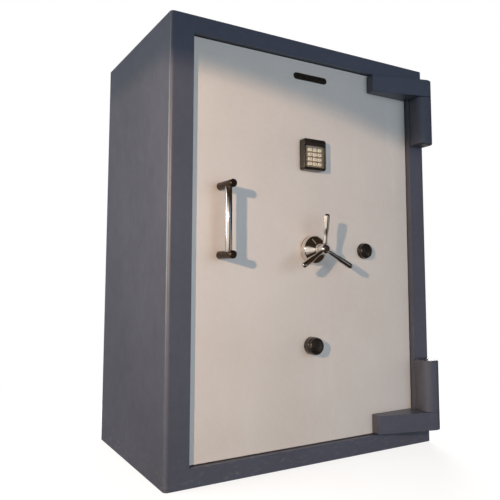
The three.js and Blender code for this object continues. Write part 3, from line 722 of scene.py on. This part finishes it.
def make_key(node, text):
    """A soft-cornered key cap, dished on top, with its digit."""
    low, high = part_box(node)
    centre = Vector(((low.x + high.x) / 2, high.y, (low.z + high.z) / 2))
    half_x, half_z, tall = (high.x - low.x) / 2, (high.z - low.z) / 2, high.y - low.y

    def outline(inset):
        return rounded_outline(half_x - inset, half_z - inset, 3.0 * MM - 0.5 * inset, 8)

    cap = stacked(node + "_cap", centre, [
        (outline(0), 0), (outline(0), tall - 2.2 * MM), (outline(0.25 * MM), tall - 1.2 * MM),
        (outline(0.7 * MM), tall - 0.5 * MM), (outline(1.4 * MM), tall - 0.12 * MM),
        (outline(2.2 * MM), tall - 0.12 * MM), (outline(3.2 * MM), tall - 0.3 * MM),
    ])
    settle(cap, node)
    make_digit(text, node, low.y + 0.25 * MM)


for number, text in enumerate(DIGITS, 1):
    make_key("key_%02d" % number, text)


def make_keypad():
    """A black hooded shell round a brushed plate with wells for the keys and a smoked lamp window."""
    low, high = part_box("keypad_housing")
    centre = Vector(((low.x + high.x) / 2, high.y, (low.z + high.z) / 2))
    half_x, half_z, depth = (high.x - low.x) / 2, (high.z - low.z) / 2, high.y - low.y
    open_x, open_low, open_high = half_x - SHELL_SIDE, -half_z + SHELL_FOOT, half_z - SHELL_HEAD
    middle, half_open = (open_low + open_high) / 2, (open_high - open_low) / 2
    plate_front = max(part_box("key_01")[0].y, low.y) + PLATE_SINK

    def outer(inset):
        return rounded_outline(half_x - inset, half_z - inset, 9 * MM - 0.6 * inset)

    def opening(grow):
        points = rounded_outline(open_x + grow, half_open + grow, 5 * MM)
        return [(x, z + middle) for x, z in points]

    keys = [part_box("key_%02d" % number) for number in range(1, 13)]
    key_back = max(key_high.y for _, key_high in keys)
    well_floor = centre.y - key_back - KEY_TRAVEL_ROOM
    assert well_floor > LEAST_FLOOR
    shell = stacked("keypad_shell", centre, [
        (outer(0), 0), (outer(0), depth - 5 * MM), (outer(0.5 * MM), depth - 3 * MM),
        (outer(1.6 * MM), depth - 1.2 * MM), (outer(3.4 * MM), depth - 0.1 * MM),
        (outer(5 * MM), depth - 0.1 * MM), (opening(1 * MM), depth - 0.1 * MM),
        (opening(0.2 * MM), depth - 0.7 * MM), (opening(0), depth - 2 * MM), (opening(0), well_floor),
    ])
    settle(shell, "keypad_housing", slot="black_metal")
    columns = [(a.x - KEY_SIDE_ROOM, b.x + KEY_SIDE_ROOM) for a, b in keys[:3]]
    rows = [(a.z - KEY_SIDE_ROOM, b.z + KEY_SIDE_ROOM) for a, b in keys[::3]]
    xs = [centre.x - open_x] + [x for column in columns for x in column] + [centre.x + open_x]
    zs = [centre.z + open_high] + [z for row in rows for z in reversed(row)] + [centre.z + open_low]
    vertices = [(x, plate_front, z) for z in zs for x in xs]
    faces = []
    for i in range(len(zs) - 1):
        for j in range(len(xs) - 1):
            if i % 2 == 0 or j % 2 == 0:
                corner = i * len(xs) + j
                faces.append((corner, corner + len(xs), corner + len(xs) + 1, corner + 1))
    plate = make_object("keypad_plate", vertices, faces)
    solid = plate.modifiers.new("thickness", "SOLIDIFY")
    solid.thickness = 1.2 * MM
    solid.offset = -1
    bevelled(plate, 0.35 * MM, 2)
    shade_by_area(plate)
    settle(plate, "keypad_housing", replaces=False)
    window_low = zs[1] + 1.6 * MM
    window_start = (centre.x - open_x + WINDOW_INSET, plate_front - 0.7 * MM, window_low)
    window_end = (centre.x + open_x - WINDOW_INSET, plate_front + 0.3 * MM, zs[0] - 1.2 * MM)
    window = rounded_box("keypad_window", window_start, window_end, 0.3 * MM, 2)
    settle(window, "keypad_housing", slot="black_metal", look="dark_lens", replaces=False)


make_keypad()


# ------------------------------------------------------------------ inner door cover
def make_cord(name, loop, radius, node):
    """A round cord sewn along a closed upright loop of points, half sunk into the trim behind it."""
    vertices, faces = [], []
    count = len(loop)
    for i, point in enumerate(loop):
        along = (Vector(loop[(i + 1) % count]) - Vector(loop[i - 1])).normalized()
        across = along.cross(Vector((0, 1, 0)))
        for k in range(ROUND_SIDES):
            angle = 2 * math.pi * k / ROUND_SIDES
            out = across * math.cos(angle) + Vector((0, math.sin(angle), 0))
            vertices.append(Vector(point) + radius * out)
    for i in range(count):
        here, there = i * ROUND_SIDES, (i + 1) % count * ROUND_SIDES
        for k in range(ROUND_SIDES):
            j = (k + 1) % ROUND_SIDES
            faces.append((here + k, here + j, there + j, there + k))
    cord = make_object(name, vertices, faces)
    smooth(cord, 60)
    settle(cord, node, slot="carpet", look="seal", replaces=False)


def trim_door_cover():
    """Piping round the inner door cover and round each of its three padded fields."""
    low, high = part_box("door_back_cover")
    middle_x, half_x = (low.x + high.x) / 2, (high.x - low.x) / 2
    border, gap, rows = 30 * MM, 24 * MM, 3
    edge_inset, corner = 12 * MM, 22 * MM
    field = (high.z - low.z - 2 * border - (rows - 1) * gap) / rows
    half_z = (high.z - low.z) / 2
    frames = [("edge", (low.z + high.z) / 2, half_x - edge_inset, half_z - edge_inset, 2.2 * MM)]
    for row in range(rows):
        z = low.z + border + field / 2 + row * (field + gap)
        frames.append(("field_%d" % (row + 1), z, half_x - border, field / 2, 1.7 * MM))
    for place, z, reach_x, reach_z, radius in frames:
        outline = rounded_outline(reach_x, reach_z, corner)
        loop = [(middle_x + x, high.y, z + up) for x, up in outline]
        make_cord("door_cover_piping_" + place, loop, radius, "door_back_cover")


trim_door_cover()


# ------------------------------------------------------------------ welds
WEB_SHIFT = 11.5 * MM  # the web meets the frame this far inside the barrel's left edge
WELD_RADIUS = 2.6 * MM
WELD_STEP = 1.4 * MM  # between two rings of a bead


def make_weld(name, start, end, node):
    """A rippled weld bead between two points, half sunk into the steel it joins."""
    start, end = Vector(start), Vector(end)
    along = (end - start).normalized()
    side = along.orthogonal().normalized()
    other = along.cross(side)
    steps = int((end - start).length / WELD_STEP)
    vertices = []
    for i in range(steps + 1):
        ripple = 1 + 0.09 * math.sin(i * 1.9) + 0.05 * math.sin(i * 0.47)
        taper = min(1, (i + 0.6) / 3, (steps - i + 0.6) / 3)
        for k in range(ROUND_SIDES):
            angle = 2 * math.pi * k / ROUND_SIDES
            offset = side * math.cos(angle) + other * math.sin(angle)
            vertices.append(start + (end - start) * (i / steps) + offset * WELD_RADIUS * ripple * taper)
    faces = [tuple(range(ROUND_SIDES))[::-1], tuple(range(steps * ROUND_SIDES, (steps + 1) * ROUND_SIDES))]
    for i in range(steps):
        here, there = i * ROUND_SIDES, (i + 1) * ROUND_SIDES
        for k in range(ROUND_SIDES):
            j = (k + 1) % ROUND_SIDES
            faces.append((here + k, here + j, there + j, there + k))
    bead = make_object(name, vertices, faces)
    smooth(bead, 60)
    settle(bead, node, slot="body_paint", replaces=False)


def weld_hinge_leg(place):
    """Beads down both long edges of a hinge leg, where its web meets the frame, and across its free end."""
    low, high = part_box("hinge_leg_" + place)
    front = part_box("front_frame")[0].y
    free_end = low.z if place == "top" else high.z
    inset = 6 * MM
    for side, x in (("left", low.x + 1 * MM + WEB_SHIFT), ("right", high.x - 0.5 * MM)):
        make_weld("weld_%s_%s" % (place, side), (x, front, low.z + inset), (x, front, high.z - inset),
                  "hinge_leg_" + place)
    make_weld("weld_%s_end" % place, (low.x + WEB_SHIFT + inset, front, free_end),
              (high.x - inset, front, free_end), "hinge_leg_" + place)


weld_hinge_leg("top")
weld_hinge_leg("bottom")


# ------------------------------------------------------------------ floor, light and air
def make_floor():
    """A pale floor that brightens to white away from the safe; only the camera sees it."""
    reach, fade_start, fade_end = 12.0, 0.06, 0.15
    corners = [(-reach, -reach, 0), (reach, -reach, 0), (reach, reach, 0), (-reach, reach, 0)]
    floor = make_object("floor", corners, [(0, 1, 2, 3)])
    s = Surface("floor")
    far = s.add("ShaderNodeTexGradient", {"Vector": s.stretched((1 / reach,) * 3)}, gradient_type="SPHERICAL")
    near = s.add("ShaderNodeMapRange", {"Value": far.outputs["Fac"]},
                 From_Min=1 - fade_end, From_Max=1 - fade_start)
    s.colour(s.mix(near.outputs[0], (0.0, 0.0, 0.0), (0.30, 0.30, 0.30)))
    s.roughness(s.remap(s.noise(4.0, 3.0), 0.8, 0.95))
    glow = s.mix(near.outputs[0], (1.0, 1.0, 1.0), (0.80, 0.80, 0.80))
    s.tree.links.new(glow, s.shader.inputs["Emission Color"])
    s.shader.inputs["Emission Strength"].default_value = 1.0
    s.shader.inputs["Specular IOR Level"].default_value = 0.0
    floor.data.materials.append(s.material)
    floor.visible_diffuse = False
    floor.visible_glossy = False


def hang(name, data, place, target):
    """Puts a lamp at place, turned towards target."""
    light = bpy.data.objects.new(name, data)
    light.location = place
    light.rotation_euler = (Vector(target) - Vector(place)).to_track_quat("-Z", "Y").to_euler()
    scene.collection.objects.link(light)
    return light


def area_light(name, place, target, size, power, colour, mirrored=True):
    """A round soft box; mirrored says whether reflections show it."""
    data = bpy.data.lights.new(name, "AREA")
    data.shape = "DISK"
    data.size = size
    data.energy = power
    data.color = colour
    hang(name, data, place, target).visible_glossy = mirrored


def spot_light(name, place, target, size, power, cone, blend, colour):
    """A lamp in a shade: light only within the cone (degrees), soft at its rim."""
    data = bpy.data.lights.new(name, "SPOT")
    data.shadow_soft_size = size / 2
    data.energy = power
    data.color = colour
    data.spot_size = math.radians(cone)
    data.spot_blend = blend
    hang(name, data, place, target)


ROOM_PANELS = (  # (heading from straight out of the door towards +X, rise), core, rim in degrees, colour
    ((20, 5), 6, 13, (0.35, 0.44, 0.58)),
    ((48, -9), 4, 11, (0.9, 0.82, 0.74)),
)


def make_world():
    """White for the camera, a faint even light for diffuse rays, and a dim room for mirrors.

    The room has a bright side at -X and the panels of ROOM_PANELS.
    """
    world = bpy.data.worlds.new("studio")
    world.use_nodes = True
    scene.world = world
    tree = world.node_tree
    tree.nodes.clear()

    def node(kind, links=(), **settings):
        made = tree.nodes.new(kind)
        for name, value in settings.items():
            setattr(made, name, value)
        for socket, source in links:
            if isinstance(source, bpy.types.NodeSocket):
                tree.links.new(source, made.inputs[socket])
            else:
                made.inputs[socket].default_value = source
        return made

    def blend(factor, first, second):
        return node("ShaderNodeMix", [(0, factor), (6, first), (7, second)], data_type="RGBA").outputs[2]

    def patch(place, core, rim):
        """1 within core degrees of a (heading, rise) direction, fading to 0 at rim."""
        heading, rise = (math.radians(a) for a in place)
        towards = (math.sin(heading) * math.cos(rise), -math.cos(heading) * math.cos(rise), math.sin(rise))
        near = node("ShaderNodeVectorMath", [(0, direction), (1, towards)], operation="DOT_PRODUCT")
        limits = [("From Min", math.cos(math.radians(rim))), ("From Max", math.cos(math.radians(core)))]
        return node("ShaderNodeMapRange", [("Value", near.outputs["Value"])] + limits).outputs[0]

    path = node("ShaderNodeLightPath")
    direction = node("ShaderNodeTexCoord").outputs["Generated"]
    level = node("ShaderNodeSeparateXYZ", [(0, direction)]).outputs["Z"]
    height = node("ShaderNodeMath", [(0, level)], operation="ABSOLUTE").outputs[0]
    band = node("ShaderNodeMapRange", [("Value", height), ("From Min", 0.36), ("From Max", 0.16)]).outputs[0]
    lean = node("ShaderNodeVectorMath", [(0, direction), (1, (-0.93, -0.36, 0.0))], operation="DOT_PRODUCT")
    side = node("ShaderNodeMapRange",
                [("Value", lean.outputs["Value"]), ("From Min", 0.35), ("From Max", 0.75)])
    window = node("ShaderNodeMath", [(0, band), (1, side.outputs[0])], operation="MULTIPLY").outputs[0]
    room = blend(window, (0.036, 0.022, 0.013, 1), (0.90, 0.82, 0.72, 1))
    for place, core, rim, colour in ROOM_PANELS:
        room = blend(patch(place, core, rim), room, (*colour, 1))
    seen = node("ShaderNodeBackground", [("Color", (1, 1, 1, 1)), ("Strength", 1.0)])
    even = node("ShaderNodeBackground", [("Color", (0.92, 0.96, 1.0, 1)), ("Strength", 0.03)])
    mirror = node("ShaderNodeBackground", [("Color", room), ("Strength", 1.0)])
    unseen = node("ShaderNodeMixShader", [(0, path.outputs["Is Glossy Ray"]), (1, even.outputs[0]),
                                          (2, mirror.outputs[0])])
    whole = node("ShaderNodeMixShader", [(0, path.outputs["Is Camera Ray"]), (1, unseen.outputs[0]),
                                         (2, seen.outputs[0])])
    node("ShaderNodeOutputWorld", [("Surface", whole.outputs[0])])


make_floor()
make_world()
KEY_PLACE = (-2.65, -2.08, 1.25)
KEY_TARGET = (-1.13, -0.56, -0.02)
SAFE_MIDDLE = (0.0, -0.3, 0.7)
spot_light("key", KEY_PLACE, KEY_TARGET, size=0.09, power=266.0, cone=67.8, blend=0.06,
           colour=(1.0, 0.68, 0.45))
area_light("fill_high", (1.2, -3.4, 1.3), SAFE_MIDDLE, 2.4, 24.0, (0.70, 0.82, 1.0), mirrored=False)
area_light("fill_low", (-0.4, -3.4, 0.5), SAFE_MIDDLE, 3.0, 48.0, (0.74, 0.90, 1.0), mirrored=False)
area_light("side", (-3.4, 0.9, 1.3), (-0.5, 0.0, 0.7), 2.0, 95.0, (0.94, 0.97, 0.94))
area_light("back", (2.5, 2.6, 1.7), (0.2, 0.2, 0.7), 2.2, 150.0, (1.0, 0.97, 0.94))
area_light("right", (3.2, -0.9, 0.7), (0.5, -0.2, 0.6), 2.0, 22.0, (1.0, 0.78, 0.62), mirrored=False)
area_light("top", (0.3, 1.1, 3.2), (0.0, 0.2, 1.5), 2.0, 70.0, (0.98, 0.99, 1.0), mirrored=False)
scene.view_settings.view_transform = "Standard"
